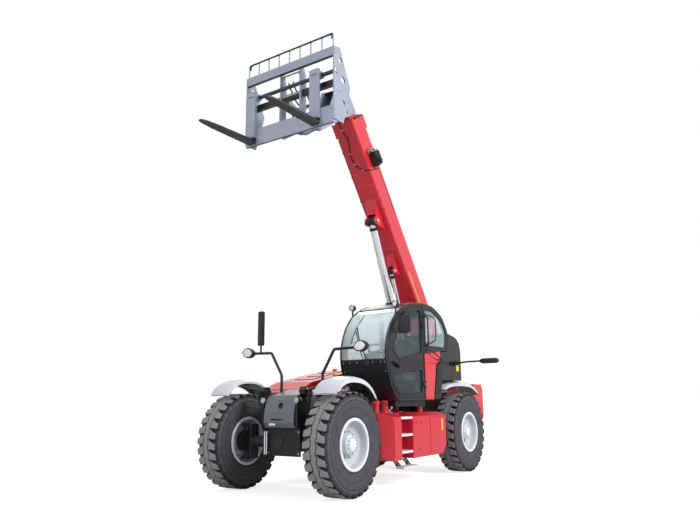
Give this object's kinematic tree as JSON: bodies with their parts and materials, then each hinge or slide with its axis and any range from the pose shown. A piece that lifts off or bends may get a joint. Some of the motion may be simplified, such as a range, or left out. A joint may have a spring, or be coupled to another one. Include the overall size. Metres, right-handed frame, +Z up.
{
  "type": "telehandler",
  "caption": "Rough-terrain telescopic handler with a raised multi-section boom, pallet fork carriage, side cab, engine hood and four steered lugged wheels.",
  "frame": {"origin": "on the ground, at the centre of the whole machine's bounding box, which takes in the mirror arm that stands out on the left", "axes": "+X forward along the machine, +Y to its left, +Z up"},
  "size_m": [6.164, 3.175, 6.7948],
  "materials": {
    "red_paint": "gloss",
    "black_paint": "satin",
    "carriage_grey": "satin",
    "cover_grey": "satin",
    "fender_silver": "satin",
    "rim_silver": "satin",
    "fork_steel": "satin",
    "casting": "painted",
    "chrome": "polished",
    "glass": "clear",
    "tyre": "matte",
    "seat_cloth": "woven",
    "black_plastic": "matte",
    "step_aluminium": "treaded"
  },
  "bodies": {
    "chassis": {"access_steps": "step_aluminium", "cab_glass": "glass", "cab_shell": "black_paint", "chassis_frame": "black_paint", "console": "black_plastic", "counterweight": "red_paint", "door_hinges": "black_paint", "engine_bay": "red_paint", "engine_block": "casting", "front_axle": "casting", "front_cover": "cover_grey", "front_left_fender": "fender_silver", "front_left_mirror": "black_plastic", "front_right_fender": "fender_silver", "front_right_mirror": "black_plastic", "rear_axle": "casting", "rear_left_fender": "fender_silver", "rear_mirror": "black_plastic", "rear_panel": "black_paint", "rear_right_fender": "fender_silver", "roof_lights": "black_plastic", "seat": "seat_cloth", "side_tank": "red_paint"},
    "boom": {"boom_section_1": "red_paint"},
    "section_2": {"boom_section_2": "red_paint"},
    "section_3": {"boom_section_3": "red_paint"},
    "section_4": {"boom_section_4": "carriage_grey", "boom_nose": "carriage_grey"},
    "carriage": {"fork_carriage": "carriage_grey", "load_guard": "carriage_grey", "left_fork": "fork_steel", "right_fork": "fork_steel"},
    "lift_barrel": {"lift_cylinder_barrel": "red_paint"},
    "lift_rod": {"lift_cylinder_rod": "chrome"},
    "compensation_barrel": {"compensation_cylinder_barrel": "red_paint"},
    "compensation_rod": {"compensation_cylinder_rod": "chrome"},
    "tilt_barrel": {"tilt_cylinder_barrel": "carriage_grey"},
    "tilt_rod": {"tilt_cylinder_rod": "chrome"},
    "door": {"cab_door": "black_paint", "door_glass": "glass", "cab_mirror": "black_plastic"},
    "hood": {"engine_hood": "red_paint"},
    "front_left_wheel": {"front_left_tyre": "tyre", "front_left_rim": "rim_silver"},
    "front_left_steering": {"front_left_knuckle": "casting"},
    "front_right_wheel": {"front_right_tyre": "tyre", "front_right_rim": "rim_silver"},
    "front_right_steering": {"front_right_knuckle": "casting"},
    "rear_left_wheel": {"rear_left_tyre": "tyre", "rear_left_rim": "rim_silver"},
    "rear_left_steering": {"rear_left_knuckle": "casting"},
    "rear_right_wheel": {"rear_right_tyre": "tyre", "rear_right_rim": "rim_silver"},
    "rear_right_steering": {"rear_right_knuckle": "casting"}
  },
  "joints": [
    {"name": "front_left_steer", "type": "hinge", "parent": "chassis", "child": "front_left_steering", "pos_m": [1.848, 0.4025, 0.685], "axis": [0, 0, 1], "range_deg": [-30, 30]},
    {"name": "front_left_spin", "type": "hinge", "parent": "front_left_steering", "child": "front_left_wheel", "pos_m": [1.848, 0.5525, 0.685], "axis": [0, 1, 0], "continuous": true},
    {"name": "front_right_steer", "type": "hinge", "parent": "chassis", "child": "front_right_steering", "pos_m": [1.848, -1.2075, 0.685], "axis": [0, 0, 1], "range_deg": [-30, 30]},
    {"name": "front_right_spin", "type": "hinge", "parent": "front_right_steering", "child": "front_right_wheel", "pos_m": [1.848, -1.3575, 0.685], "axis": [0, 1, 0], "continuous": true},
    {"name": "rear_left_steer", "type": "hinge", "parent": "chassis", "child": "rear_left_steering", "pos_m": [-1.852, 0.4025, 0.685], "axis": [0, 0, 1], "range_deg": [-30, 30]},
    {"name": "rear_left_spin", "type": "hinge", "parent": "rear_left_steering", "child": "rear_left_wheel", "pos_m": [-1.852, 0.5525, 0.685], "axis": [0, 1, 0], "continuous": true},
    {"name": "rear_right_steer", "type": "hinge", "parent": "chassis", "child": "rear_right_steering", "pos_m": [-1.852, -1.2075, 0.685], "axis": [0, 0, 1], "range_deg": [-30, 30]},
    {"name": "rear_right_spin", "type": "hinge", "parent": "rear_right_steering", "child": "rear_right_wheel", "pos_m": [-1.852, -1.3575, 0.685], "axis": [0, 1, 0], "continuous": true},
    {"name": "boom_lift", "type": "hinge", "parent": "chassis", "child": "boom", "pos_m": [-2.902, -0.4025, 1.875], "axis": [0, -1, 0], "range_deg": [-56.15, 11.5]},
    {"name": "section_2_slide", "type": "slide", "parent": "boom", "child": "section_2", "axis": [0.5948, 0, 0.8039], "range_m": [0, 3.3]},
    {"name": "section_3_slide", "type": "slide", "parent": "section_2", "child": "section_3", "axis": [0.5948, 0, 0.8039], "range_m": [0, 3.3]},
    {"name": "section_4_slide", "type": "slide", "parent": "section_3", "child": "section_4", "axis": [0.5948, 0, 0.8039], "range_m": [0, 3.3]},
    {"name": "carriage_tilt", "type": "hinge", "parent": "section_4", "child": "carriage", "pos_m": [1.398, -0.4025, 5.65], "axis": [0, -1, 0], "range_deg": [-11.6, 56.3]},
    {"name": "lift_barrel_swing", "type": "hinge", "parent": "chassis", "child": "lift_barrel", "pos_m": [-1.954, -0.4025, 1], "axis": [0, -1, 0], "range_deg": [-58.5, 12.5]},
    {"name": "lift_rod_slide", "type": "slide", "parent": "lift_barrel", "child": "lift_rod", "axis": [0.3898, 0, 0.9209], "range_m": [-1.25, 0.27]},
    {"name": "compensation_barrel_swing", "type": "hinge", "parent": "chassis", "child": "compensation_barrel", "pos_m": [-2.102, -0.4025, 1.4], "axis": [0, -1, 0], "range_deg": [-65, 14]},
    {"name": "compensation_rod_slide", "type": "slide", "parent": "compensation_barrel", "child": "compensation_rod", "axis": [0.394, 0, 0.9191], "range_m": [-0.85, 0.18]},
    {"name": "tilt_barrel_swing", "type": "hinge", "parent": "section_4", "child": "tilt_barrel", "pos_m": [0.51022, -0.4025, 6.23228], "axis": [0, -1, 0], "range_deg": [-11, 3]},
    {"name": "tilt_rod_slide", "type": "slide", "parent": "tilt_barrel", "child": "tilt_rod", "axis": [0.9665, 0, -0.2566], "range_m": [-0.28, 0.06]},
    {"name": "door_swing", "type": "hinge", "parent": "chassis", "child": "door", "pos_m": [-0.222, 0.7195, 1.975], "axis": [0, 0, 1], "range_deg": [0, 90]},
    {"name": "hood_lift", "type": "hinge", "parent": "chassis", "child": "hood", "pos_m": [-0.967, -1.1325, 1.806], "axis": [0, -1, 0], "range_deg": [0, 50]}
  ],
  "couplings": [
    {"joint": "front_right_steer", "follows": "front_left_steer", "ratio": 1},
    {"joint": "rear_right_steer", "follows": "rear_left_steer", "ratio": 1},
    {"joint": "section_3_slide", "follows": "section_2_slide", "ratio": 1},
    {"joint": "section_4_slide", "follows": "section_2_slide", "ratio": 1},
    {"joint": "carriage_tilt", "follows": "boom_lift", "ratio": -1},
    {"joint": "lift_barrel_swing", "follows": "boom_lift", "ratio": 1.0193},
    {"joint": "lift_rod_slide", "follows": "boom_lift", "m_per_rad": 1.2149},
    {"joint": "compensation_barrel_swing", "follows": "boom_lift", "ratio": 1.1261},
    {"joint": "compensation_rod_slide", "follows": "boom_lift", "m_per_rad": 0.83834},
    {"joint": "tilt_barrel_swing", "follows": "boom_lift", "ratio": 0.18652},
    {"joint": "tilt_rod_slide", "follows": "boom_lift", "m_per_rad": 0.27767}
  ]
}
